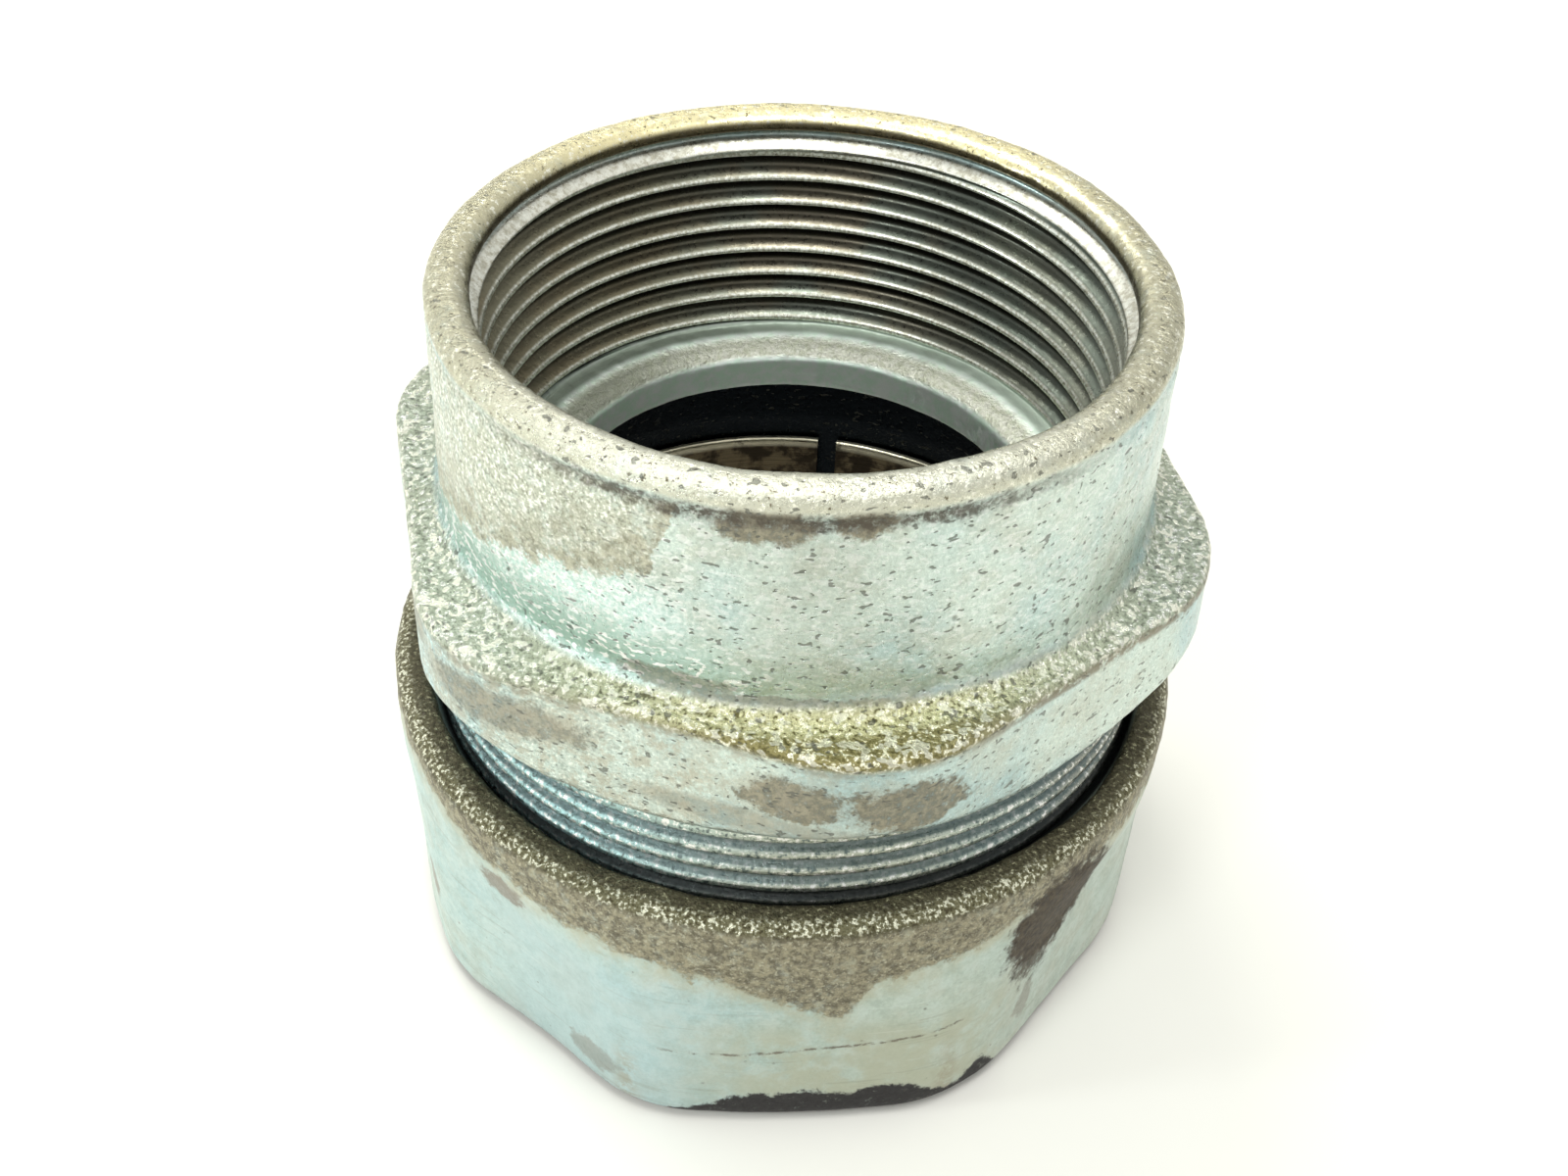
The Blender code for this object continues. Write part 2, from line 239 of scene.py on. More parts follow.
def skin(name, points, quads, caps=()):
    """Welds the seam, turns the faces outwards and links the object."""
    key = np.round(points / 0.002).astype(np.int64)
    key = (key[:, 0] * 2000003 + key[:, 1]) * 2000003 + key[:, 2]
    _, first, inverse = np.unique(key, return_index=True, return_inverse=True)
    inverse = inverse.reshape(-1)
    pts = points[first] * MM
    faces = inverse[quads]
    same = faces == np.roll(faces, -1, 1)
    count = same.sum(1)
    four = faces[count == 0]
    tri = [face[~drop] for face, drop in zip(faces[count == 1], same[count == 1])]
    tri = np.array([face for face in tri if len(set(face.tolist())) == 3]).reshape(-1, 3)
    four = four[(four[:, 0] != four[:, 2]) & (four[:, 1] != four[:, 3])]
    a, b, c, d = (pts[four[:, k]] for k in range(4))
    volume = np.einsum("ij,ij->", a, np.cross(b, c)) + np.einsum("ij,ij->", a, np.cross(c, d))
    rings = [inverse[list(cap)] for cap in caps]
    if volume < 0:
        four, tri, rings = four[:, ::-1], tri[:, ::-1], [ring[::-1] for ring in rings]
    loops = np.concatenate([four.reshape(-1), tri.reshape(-1)] + rings)
    totals = [np.full(len(four), 4), np.full(len(tri), 3), [len(ring) for ring in rings]]
    totals = np.concatenate(totals).astype(np.int32)
    starts = np.concatenate([[0], np.cumsum(totals)[:-1]]).astype(np.int32)
    mesh = bpy.data.meshes.new(name)
    mesh.vertices.add(len(pts))
    mesh.vertices.foreach_set("co", pts.astype(np.float32).reshape(-1))
    mesh.loops.add(len(loops))
    mesh.loops.foreach_set("vertex_index", loops.astype(np.int32))
    mesh.polygons.add(len(totals))
    mesh.polygons.foreach_set("loop_start", starts)
    mesh.polygons.foreach_set("loop_total", totals)
    mesh.update(calc_edges=True)
    mesh.validate()
    mesh.shade_smooth()
    return link(name, mesh)


def link(name, data):
    thing = bpy.data.objects.new(name, data)
    bpy.context.scene.collection.objects.link(thing)
    return thing


def groove(turn, crest, flank):
    """0 on a crest, 1 in a root; crest is half a crest's width and flank a flank's, in pitches."""
    off = np.abs((turn - 0.125 + 0.5) % 1.0 - 0.5)
    return smooth(crest, crest + flank, off)


def seat_r(z):
    return SEAT_END_R + (SEAT_TOP_R - SEAT_END_R) * (z - Z_END) / (SEAT_TOP - Z_END)


# ------------------------------------------------------------------ the cast body
def body_hub(part):
    """The rounded rim, from the lip inside over the top, and the hub down to its fillet."""
    shoulder = Z_TOP - RIM_H
    for degrees in np.linspace(180, 0, 30):
        across, up = math.cos(math.radians(degrees)), abs(math.sin(math.radians(degrees)))
        part.row(RIM_MID_R + RIM_HALF * math.copysign(abs(across) ** RIM_POWER, across),
                 shoulder + RIM_H * up ** RIM_POWER, 1.0)
    for z in np.arange(Z_TOP - 2.9, 61.7, -0.45):
        share = (shoulder - z) / (shoulder - 61.6)
        neck = 0.22 * math.exp(-((z - (Z_TOP - 3.3)) / 0.55) ** 2)
        part.row(HUB_R + 0.45 * share - neck, z, 1.0)
    part.arc((FILLET_R, FILLET_Z), (-FILLET, -FILLET), (6, 86, 12), 1.6)


def body_flange(part):
    hexagon = polygon_r(part.angles, **FLANGE)
    # two opposite corners are a little full: azimuth, extra radius, spread in degrees
    for azimuth, extra, spread in ((176, 1.15, 26), (-4, 0.3, 14)):
        hexagon = hexagon + extra * np.exp(-(degrees_from(part.angles, azimuth) / spread) ** 2)
    edge_r = hexagon - FLANGE_EDGE
    for t in np.linspace(0.08, 1, 9):
        part.row(FILLET_R + (edge_r - FILLET_R) * t,
                 59.12 - 0.1 * math.sin(t * math.pi) - 0.05 * t, 1.8)
    part.arc((edge_r, 58.05), (FLANGE_EDGE, FLANGE_EDGE), (72, 0, 6), 1.3)
    for z in np.arange(57.6, 49.4, -0.45):
        part.row(hexagon + FLANGE_SWELL * smooth(57.6, 50, z), z, 1.0)
    # the underside is turned to a cone, so each flat ends in a curve lowest at its middle;
    # a soft minimum joins the two, and shift keeps its exponents small
    blend, shift = 0.25, 40.0
    for z in np.arange(49.2, 45.1, -0.3):
        cone = FLANGE["apothem"] + FLANGE_SWELL + (z - 45.2) / 1.05
        powers = (np.exp(-radius / blend + shift / blend)
                  for radius in (hexagon + FLANGE_SWELL, cone))
        part.row(-blend * np.log(sum(powers)) + shift, z, 1.0 if z > 46 else 0.8)
    part.rows([(42.2, 44.8), (41.75, 44.4)], 0.7)


def body_spigot(part):
    def surface(z, turn):
        depth = (GLAND_DEPTH * smooth(SPIGOT_TOP + 0.2, SPIGOT_TOP - 2.2, z)
                 * smooth(Z_END + 0.7, Z_END + 2.0, z))
        tip = 0.9 * smooth(Z_END + 1.6, Z_END + 0.5, z)
        flare = 0.1 * smooth(SPIGOT_TOP - 1.5, SPIGOT_TOP, z)
        return SPIGOT_R + flare - depth * groove(turn, crest=0.12, flank=0.28) - tip
    part.thread(Z_END + 0.8, SPIGOT_TOP, GLAND_PITCH, surface, down=True, per=12, cast=0.4)
    part.rows([(40.1, Z_END + 0.35), (39.8, Z_END + 0.08), (39.5, Z_END)], 0.3)


def body_socket(part):
    """From the conical seat at the foot up through the socket and the throat."""
    part.row(SEAT_END_R + 0.1, Z_END, 0.2)
    part.line((SEAT_END_R, Z_END + 0.15), (SEAT_TOP_R, SEAT_TOP), 16, 0.15)
    part.line((SOCKET_R, 38.5), (SOCKET_R, 49.5), 12, 0.3)
    part.rows([(SOCKET_R - 0.15, 49.95), (SOCKET_R - 0.6, SOCKET_TOP)], 0.3)
    part.line((SOCKET_R - 1.2, SOCKET_TOP), (THROAT_R + 0.9, SOCKET_TOP), 10, 0.5)
    part.rows([(THROAT_R + 0.45, 50.28), (THROAT_R + 0.13, 50.5)], 0.5)
    part.line((THROAT_R, 50.8), (THROAT_R, 54.0), 8, 0.6)
    shoulder = [(27.45, 54.25), (27.95, 54.95), (28.9, 55.45), (30.0, 55.6), (31.3, 56.0),
                (32.2, 56.2), (32.7, 56.35)]
    part.rows(spline(shoulder, 30), 0.9)


def body_bore(part):
    """The tapered thread and the lead-in above it, up to the lip."""
    foot, foot_r = 56.5, 32.75
    lead = (NPT_START - NPT_PITCH / 8) / NPT_PITCH

    def surface(z, turn):
        crest = NPT_CREST - NPT_TAPER * (Z_TOP - z)
        up = (turn - lead - 0.125 + 0.5) % 1.0 - 0.5        # above a crest when positive
        flank = np.where(up > 0, smooth(0.0, 0.43, up), smooth(0.05, 0.30, -up))
        radius = crest + NPT_DEPTH * flank * smooth(NPT_TOP, NPT_TOP - 0.45, z)
        return foot_r + (radius - foot_r) * smooth(foot, foot + 0.5, z)
    part.thread(foot, NPT_TOP, NPT_PITCH, surface, down=False, per=14, cast=0.1)
    part.line((33.5, NPT_TOP + 0.12), (34.7, Z_TOP - 4.1), 7, 0.25)
    part.rows([(35.0, Z_TOP - 3.95), (35.15, Z_TOP - 3.6), (34.95, Z_TOP - 3.25),
               (34.45, Z_TOP - 3.0), (34.2, Z_TOP - 2.8)], 0.3)


def make_body():
    part = Turned()
    for section in (body_hub, body_flange, body_spigot, body_socket, body_bore):
        section(part)

    def relief(points, cast):
        out = cast * cast_bumps(points, BODY_BUMPS)
        azimuth = np.arctan2(points[..., 1], points[..., 0])
        away = 0.5 - 0.5 * np.cos(azimuth - math.radians(VIEW_DEG))
        # the rim is a little lower on the far side
        out[..., 2] -= 0.33 * away * np.maximum(points[..., 2] - (Z_TOP - 3.3), 0)
        return out
    return part.mesh("body_casting", relief)


# ------------------------------------------------------------------ the gland nut
def nut_outlines(angles):
    """Radius by angle of the round upper part and of the uneven octagon below it."""
    extra = NUT_SIDES[:, 1] - polygon_r(np.radians(NUT_SIDES[:, 0]), **NUT)
    extra = np.interp(degrees_from(angles, 0), [-181, *NUT_SIDES[:, 0], 34], [0, *extra, 0])
    width = COLUMNS // 90
    window = np.hanning(2 * width + 3)[1:-1]
    wrapped = np.concatenate([extra[-width:], extra, extra[:width]])
    extra = np.convolve(wrapped, window / window.sum(), "valid")
    around = NUT_ROUND - 0.5 * np.exp(-(degrees_from(angles, 5.0) / 32.0) ** 2)
    return around, polygon_r(angles, **NUT) + extra


def nut_outside(part):
    around, octagon = nut_outlines(part.angles)
    lip = [(42.5, NUT_H - 1.3), (42.52, NUT_H - 0.8), (42.75, NUT_H - 0.35), (43.3, NUT_H - 0.1),
           (44.6, NUT_H - 0.25), (45.5, NUT_H - 0.55), (46.15, NUT_H - 1.05),
           (46.5, NUT_H - 1.8), (NUT_ROUND, NUT_H - 2.7)]
    for radius, z in spline(lip, 34):
        part.row(radius + (around - NUT_ROUND) * smooth(42.5, 46.0, radius), z, 1.6)
    for z in np.arange(NUT_H - 3.1, 3.1, -0.45):
        part.row(around + (octagon - around) * smooth(31.0, 18.5, z), z,
                 0.6 + 0.9 * float(smooth(25, 32, z)))
    foot_r = octagon - NUT_FOOT_R
    part.arc((foot_r, NUT_FOOT_H), (NUT_FOOT_R, -NUT_FOOT_H), (0, 84, 12), 0.6)
    for t in np.linspace(0, 1, 10):
        part.row(foot_r * (1 - t) + 38.1 * t, 0.0, 0.0)


def nut_inside(part):
    part.rows([(37.75, 0.08), (37.45, 0.35), (NUT_HOLE_R, 0.8)], 0.2)
    part.line((NUT_HOLE_R, 1.3), (NUT_HOLE_R, 7.0), 8, 0.2)
    low = RING_R - (CONE_TOP - CONE_LOW) * CONE_SLOPE + RING_GAP
    part.line((37.35, 7.5), (low, CONE_LOW), 4, 0.2)
    part.line((low + 0.1, 10.6), (RING_R + RING_GAP, CONE_TOP), 10, 0.1)
    part.rows([(39.7, 17.35), (40.6, 17.6), (41.5, 17.75), (41.9, 18.1)], 0.2)

    def surface(z, turn):
        depth = 1.05 * smooth(19.0, 20.2, z) * smooth(NUT_H - 2.3, NUT_H - 3.6, z)
        flare = 0.15 * smooth(NUT_H - 3.1, NUT_H - 2.3, z)
        return (SPIGOT_R + GLAND_GAP + 0.2 * smooth(20, 19, z) + flare
                - depth * groove(turn, crest=0.2, flank=0.25))
    part.thread(18.8, NUT_H - 2.3, GLAND_PITCH, surface, down=False, per=12, cast=0.1)
    part.rows([(42.1, NUT_H - 2.1), (42.42, NUT_H - 1.8)], 0.4)


def make_nut():
    part = Turned(NUT["vertex_deg"])
    nut_outside(part)
    nut_inside(part)

    def relief(points, cast):
        azimuth = np.arctan2(points[..., 1], points[..., 0])
        out = cast * cast_bumps(points, NUT_BUMPS)
        z = points[..., 2:3]
        out = np.where(z < NUT_FOOT_H, out * smooth(-0.2, NUT_FOOT_H, z), out)
        # the top edge waves five times round
        top = smooth(NUT_H - 2.6, NUT_H - 0.6, points[..., 2])
        out[..., 2] += 0.22 * np.sin(5 * azimuth + 0.6) * top - 0.1 * top
        return out
    return part.mesh("gland_nut", relief)


# ------------------------------------------------------------------ the split ring
def make_ring():
    def belt(z):
        """Outer radius: the nut's cone low down, the body's seat high up."""
        low = RING_R - np.maximum(CONE_TOP - z, 0) * CONE_SLOPE
        high = np.where(z > 20.8, np.minimum(RING_R, seat_r(z) - RING_GAP), RING_R)
        return np.minimum(low, high)
    section = [(RING_IN_R + RING_ROUND * (1 - math.cos(a)),
                Z_RING_HI - RING_ROUND + RING_ROUND * math.sin(a))
               for a in np.radians([75, 60, 45, 30, 15])]
    section += [(RING_IN_R, z) for z in np.linspace(Z_RING_HI - RING_ROUND, Z_RING_LO + 0.4, 24)]
    section += [(36.7, Z_RING_LO + 0.12), (36.85, Z_RING_LO)]
    section += [(float(belt(Z_RING_LO)) - 0.15, Z_RING_LO)]
    section += [(float(belt(z)), z) for z in np.linspace(Z_RING_LO + 0.2, Z_RING_HI - 0.2, 34)]
    section += [(float(belt(Z_RING_HI)) - 0.12, Z_RING_HI - 0.03), (37.2, Z_RING_HI)]
    radius, z = np.array(section).T
    split, half_gap = math.radians(SPLIT_DEG), RING_SPLIT / 38.0 / 2
    angles = np.linspace(split + half_gap, split + 2 * math.pi - half_gap, 420)[:, None]
    z = np.broadcast_to(z, (len(angles), len(z)))
    points = np.stack([radius * np.cos(angles), radius * np.sin(angles), z], -1)
    for bump in [wobble(points, *RING_BUMPS[0])]:
        moved = points + bump
    moved = moved + wobble(moved, *RING_BUMPS[1]) if False else moved + wobble(points, *RING_BUMPS[1])
    here = np.arange(z.size).reshape(z.shape)
    a, b = here[:-1], here[1:]
    quads = np.stack([a, np.roll(a, -1, 1), np.roll(b, -1, 1), b], -1).reshape(-1, 4)
    ends = [here[0].tolist(), here[-1][::-1].tolist()]
    ring = skin("split_ring", moved.reshape(-1, 3), quads, ends)
    ring.data.set_sharp_from_angle(angle=math.radians(50))
    return ring


# ------------------------------------------------------------------ node helpers
class Field:
    """A node output that works like a number. a | b is the larger of the two."""

    def __init__(self, net, socket):
        self.net, self.socket = net, socket

    def __add__(self, other): return self.net.math("ADD", self, other)
    def __radd__(self, other): return self.net.math("ADD", other, self)
    def __sub__(self, other): return self.net.math("SUBTRACT", self, other)
    def __rsub__(self, other): return self.net.math("SUBTRACT", other, self)
    def __mul__(self, other): return self.net.math("MULTIPLY", self, other)
    def __or__(self, other): return self.net.math("MAXIMUM", self, other)
    def __abs__(self): return self.net.math("ABSOLUTE", self)
    def sqrt(self): return self.net.math("SQRT", self)

    def ramp(self, start, end, give=(0.0, 1.0), kind="SMOOTHSTEP"):
        """Goes from give[0] to give[1] as this field goes from start to end."""
        inputs = dict(enumerate((self, start, end, *give)))
        node = self.net.node("ShaderNodeMapRange", inputs, interpolation_type=kind)
        return Field(self.net, node.outputs[0])

    def band(self, low, high, soft):
        """1 between low and high, with edges soft to either side."""
        return self.ramp(low - soft, low + soft) * self.ramp(high + soft, high - soft)

    def mix(self, first, second):
        """The first colour where this field is 0, the second where it is 1."""
        return self.net.mix(self, first, second)

    def speckle(self, base, dark, bright, low=(0.45, 0.37), high=(0.57, 0.64)):
        """A mid tone with fine dark and bright grains, over the ramps low and high."""
        return self.ramp(*high).mix(self.ramp(*low).mix(base, dark), bright)


class Net:
    """Short names for building a node tree."""

    def __init__(self, tree):
        self.tree = tree

    def put(self, socket, value):
        if isinstance(value, Field):
            value = value.socket
        if isinstance(value, bpy.types.NodeSocket):
            self.tree.links.new(value, socket)
        elif isinstance(value, tuple) and len(value) == 3 and socket.type == "RGBA":
            socket.default_value = (*value, 1.0)
        else:
            socket.default_value = value

    def node(self, kind, inputs=None, **props):
        node = self.tree.nodes.new(kind)
        for key, value in props.items():
            setattr(node, key, value)
        for key, value in (inputs or {}).items():
            self.put(node.inputs[key], value)
        return node

    def field(self, kind, inputs=None, output=0):
        return Field(self, self.node(kind, inputs).outputs[output])

    def math(self, operation, *values):
        node = self.node("ShaderNodeMath", dict(enumerate(values)), operation=operation)
        return Field(self, node.outputs[0])

    def vector(self, operation, inputs):
        return self.node("ShaderNodeVectorMath", inputs, operation=operation)

    def mix(self, share, first, second, mode="MIX"):
        inputs = {0: share, 6: first, 7: second}
        node = self.node("ShaderNodeMix", inputs, data_type="RGBA", blend_type=mode)
        return Field(self, node.outputs[2])

    def blend(self, share, first, second):
        """Mixes two numbers."""
        node = self.node("ShaderNodeMix", {0: share, 2: first, 3: second}, data_type="FLOAT")
        return Field(self, node.outputs[0])


class Plating(Net):
    """A material laid on coat by coat, with places and sizes in millimetres."""

    def __init__(self, name):
        self.material = bpy.data.materials.new(name)
        self.material.use_nodes = True
        super().__init__(self.material.node_tree)
        self.tree.nodes.clear()
        place = self.node("ShaderNodeTexCoord").outputs["Object"]
        self.point = self.vector("SCALE", {0: place, "Scale": 1 / MM}).outputs[0]
        xyz = self.node("ShaderNodeSeparateXYZ", {0: self.point}).outputs
        self.x, self.y, self.z = (Field(self, socket) for socket in xyz)
        self.colour = self.normal = None

    @cached_property
    def radius(self):
        return (self.x * self.x + self.y * self.y).sqrt()

    @cached_property
    def around(self):
        """Share of a turn: 0.5 faces the camera, 0.25 is its left and 0.75 its right."""
        angle = math.radians(-VIEW_DEG)
        across = self.x * math.cos(angle) - self.y * math.sin(angle)
        along = self.x * math.sin(angle) + self.y * math.cos(angle)
        return self.math("ARCTAN2", along, across) * (1 / (2 * math.pi)) + 0.5

    def coat(self, amount, colour):
        self.colour = self.mix(amount, self.colour, colour)

    def tinted(self, tint):
        """The colour so far, multiplied by a tint."""
        return self.mix(1.0, self.colour, tint, "MULTIPLY")

    def noise(self, size, detail=4.0, rough=0.55, shift=0.0, stretch=None):
        """Noise whose features are about size across."""
        point = self.point
        if stretch:
            point = self.vector("MULTIPLY", {0: point, 1: stretch}).outputs[0]
        if shift:
            point = self.vector("ADD", {0: point, 1: (shift, shift * 0.7, -shift)}).outputs[0]
        return self.field("ShaderNodeTexNoise", {"Vector": point, "Scale": 1.0 / size,
                                                 "Detail": detail, "Roughness": rough})

    def specks(self, size, share, radius, shift):
        """Small pits, one to a cell in a share of the cells; radius is the largest, in cells."""
        point = self.vector("ADD", {0: self.point, 1: (shift,) * 3}).outputs[0]
        cells = self.node("ShaderNodeTexVoronoi", {"Vector": point, "Scale": 1.0 / size}).outputs
        chance = self.field("ShaderNodeSeparateColor", {0: cells["Color"]})
        reach = chance.ramp(1.0 - share, 1.0, give=(-0.05, radius), kind="LINEAR")
        return (Field(self, cells["Distance"]) - reach).ramp(0.05, -0.05)

    def curve(self, points, low, high):
        """A value between low and high that follows the (around, value) points."""
        node = self.node("ShaderNodeFloatCurve")
        curve = node.mapping.curves[0]
        places = [(px, (py - low) / (high - low)) for px, py in points]
        curve.points[0].location, curve.points[1].location = places[0], places[-1]
        for place in places[1:-1]:
            curve.points.new(*place)
        for point in curve.points:
            point.handle_type = "VECTOR"
        node.mapping.update()
        self.put(node.inputs["Value"], self.around)
        return Field(self, node.outputs[0]) * (high - low) + low

    def blob(self, ragged, at, size, amount=1.0, tilt=0.0, soft=0.2):
        """A patch with a ragged edge; at and size (half widths) are (around, z)."""
        off = self.around - at[0]
        across = off * (1 / size[0])
        up = (self.z - at[1] - off * tilt) * (1 / size[1])
        reach = (across * across + up * up).sqrt() + (ragged - 0.5) * 2.2
        return reach.ramp(1.0 + soft, 1.0 - soft) * amount

    def bump(self, height, depth, strength):
        inputs = {"Height": height, "Distance": depth * MM, "Strength": strength}
        if self.normal is not None:
            inputs["Normal"] = self.normal
        self.normal = self.field("ShaderNodeBump", inputs)

    def finish(self, rough, metal):
        surface = self.field("ShaderNodeBsdfPrincipled", {
            "Base Color": self.colour, "Roughness": rough, "Metallic": metal,
            "Normal": self.normal})
        self.node("ShaderNodeOutputMaterial", {0: surface})
        return self.material


# ------------------------------------------------------------------ what both castings share
ZINC_PALE, ZINC_TEAL, ZINC_GREY = (0.61, 0.71, 0.65), (0.47, 0.63, 0.63), (0.51, 0.54, 0.46)
WHITE = (1.0, 1.0, 1.0)


def casting(name):
    """The cloudy plated colour and the noise fields that the rest is cut from."""
    net = Plating(name)
    broad = net.noise(20, detail=3, rough=0.5, shift=3.0)
    net.cloud = net.noise(5.0, detail=6, rough=0.62, shift=9.0)
    net.grain = net.noise(0.62, detail=5, rough=0.68)
    net.fine = net.noise(0.40, detail=3, rough=0.6, shift=5.0)
    net.colour = broad.ramp(0.40, 0.62).mix(ZINC_PALE, ZINC_TEAL)
    net.coat(net.cloud.ramp(0.42, 0.68) * 0.6, ZINC_GREY)
    return net


def casting_bumps(net, size, coarse):
    net.bump(net.noise(size, detail=4, rough=0.6, shift=12.0), depth=0.30, strength=coarse)
    net.bump(net.grain, depth=0.26, strength=coarse)
    net.bump(net.fine, depth=0.15, strength=coarse)


# ------------------------------------------------------------------ body material
# lower edge of the hub's stain: around, z
STAIN_FLOOR = [
    (0.0, 79.0), (0.08, 74.0), (0.16, 72.0), (0.24, 64.0), (0.30, 63.0), (0.35, 66.0),
    (0.40, 69.8), (0.43, 72.2), (0.447, 73.8), (0.456, 82.0), (0.47, 86.0), (0.62, 86.0),
    (0.70, 82.0), (0.8, 76.0), (0.9, 80.0), (1.0, 79.0)]


def body_plating(net):
    """Painted glints and dark grains of the rough plating, strongest on the left of the hub, and a
    painted highlight on the hub's lower left.
    """
    z, around, fine, hub = net.z, net.around, net.fine, net.hub
    painted_lit_patch = around.band(0.33, 0.45, soft=0.04)
    lively = 0.30 + net.left * 0.6
    net.coat(fine.ramp(0.46, 0.36) * lively, net.tinted((0.55, 0.60, 0.58)))
    net.coat(fine.ramp(0.54, 0.64) * lively, net.tinted((1.6, 1.5, 1.5)))
    # painted highlight: a pale bluish-white patch on the lower left of the hub
    net.coat(painted_lit_patch * hub * z.ramp(75.0, 70.0) * 0.75,
             fine.ramp(0.42, 0.58).mix((0.66, 0.88, 0.82), (0.95, 1.0, 1.0)))
    # painted glints: sparse white flecks that stand in for sparkle, used on the hub and the flange
    # top
    flecks = net.noise(0.62, detail=1, rough=0.5, shift=51.0, stretch=(0.62, 0.62, 1.15))
    net.glint = flecks.ramp(0.565, 0.60)
    # a green skirt round the front left of the hub's foot
    skirt = around.band(0.30, 0.49, soft=0.05) * hub
    skirt = skirt * (z + (net.rag - 0.5) * 8.0).ramp(68.5, 62.5)
    net.coat(skirt * 0.75, (0.33, 0.50, 0.43))
    # painted glints on the hub
    net.coat(hub * net.glint * (skirt | 0.25 + net.left * 0.5), WHITE)


def body_stains(net):
    """The grey stain under the rim, darker at its lower end, and the brown patches."""
    z, rag, crumb, patchy, blob = net.z, net.rag, net.crumb, net.patchy, net.blob
    edge = (rag - 0.5) * 8.0 + (crumb - 0.5) * 3.4
    above = z + edge - net.curve(STAIN_FLOOR, low=55.0, high=90.0)
    stain = net.hub * above.ramp(-0.5, 0.6) * z.ramp(83.0, 81.4)
    low = stain * (above + (net.cloud - 0.5) * 16.0).ramp(8.0, 1.0)
    on_hub = (blob(rag, at=(0.490, 81.4), size=(0.018, 2.3))
              | blob(rag, at=(0.526, 81.7), size=(0.011, 1.9))
              | blob(patchy, at=(0.458, 61.2), size=(0.026, 1.1), amount=0.7)
              | blob(patchy, at=(0.50, 60.3), size=(0.05, 0.7), amount=0.7))
    on_flange = (blob(patchy, at=(0.504, 52.9), size=(0.018, 2.8))
                 | blob(patchy, at=(0.545, 52.4), size=(0.021, 3.4))
                 | blob(patchy, at=(0.392, 53.8), size=(0.036, 2.4), amount=0.8)
                 | (blob(patchy, at=(0.49, 48.6), size=(0.045, 1.6), amount=0.55)
                    | blob(patchy, at=(0.335, 55.8), size=(0.02, 2.4), amount=0.7))
                 | (blob(rag, at=(0.10, 53.5), size=(0.05, 2.6))
                    | blob(rag, at=(0.86, 53.0), size=(0.04, 2.8))))
    brown = net.outside * (on_hub | on_flange) * crumb.ramp(0.28, 0.48, give=(0.55, 1.0))
    tan = crumb.ramp(0.36, 0.64).mix((0.25, 0.24, 0.17), (0.56, 0.55, 0.42))
    film = net.fine.speckle(base=(0.56, 0.575, 0.46), dark=(0.30, 0.30, 0.22),
                            bright=(1.0, 1.0, 0.92), high=(0.54, 0.62))
    net.coat(stain * patchy.ramp(0.34, 0.56, give=(0.40, 0.85)), film)
    net.coat(low * patchy.ramp(0.36, 0.56, give=(0.25, 0.9)), tan)
    net.coat(brown * 0.9, crumb.ramp(0.35, 0.65).mix((0.10, 0.085, 0.05), (0.31, 0.275, 0.18)))
    return stain, low, brown


def body_shelf(net):
    """The flange: a warm film on its sides, and a grainy top with painted glints, gold at the front
    as a painted warm reflection.
    """
    z, radius, around, patchy, grit = net.z, net.radius, net.around, net.patchy, net.grit
    sides = net.outside * z.band(44.0, 58.3, soft=0.6) * radius.ramp(41.6, 42.2)
    net.coat(sides * (patchy.ramp(0.44, 0.60) * (around.ramp(0.56, 0.44) * 0.45 + 0.15)),
             (0.44, 0.40, 0.30))
    shelf = z.band(58.0, 61.0, soft=0.5) * radius.ramp(39.3, 40.2)
    # painted reflection: the gold on the front of the flange top stands in for a warm reflection
    warm = shelf * around.band(0.43, 0.60, soft=0.06)
    pale = grit.speckle(base=(0.50, 0.545, 0.41), dark=(0.23, 0.25, 0.175),
                        bright=(1.0, 1.0, 0.92), low=(0.45, 0.35), high=(0.54, 0.60))
    gold = grit.speckle(base=radius.ramp(43.2, 41.6).mix((0.29, 0.25, 0.09), (0.66, 0.64, 0.37)),
                        dark=(0.14, 0.12, 0.035), bright=(1.0, 0.97, 0.72),
                        low=(0.46, 0.36), high=(0.54, 0.60))
    net.coat(shelf * 0.85, pale)
    net.coat(warm * 0.92, gold)
    # painted glints on the flange top
    net.coat(shelf * net.glint * (0.85 - warm * 0.35), (1.0, 1.0, 0.86))
    edge = z.band(57.2, 58.4, soft=0.35) * radius.ramp(41.8, 42.4)
    worn = patchy.ramp(0.36, 0.52) * (0.35 + around.band(0.58, 0.86, soft=0.03) * 0.5)
    net.coat(edge * worn, (0.20, 0.17, 0.11))
    return shelf


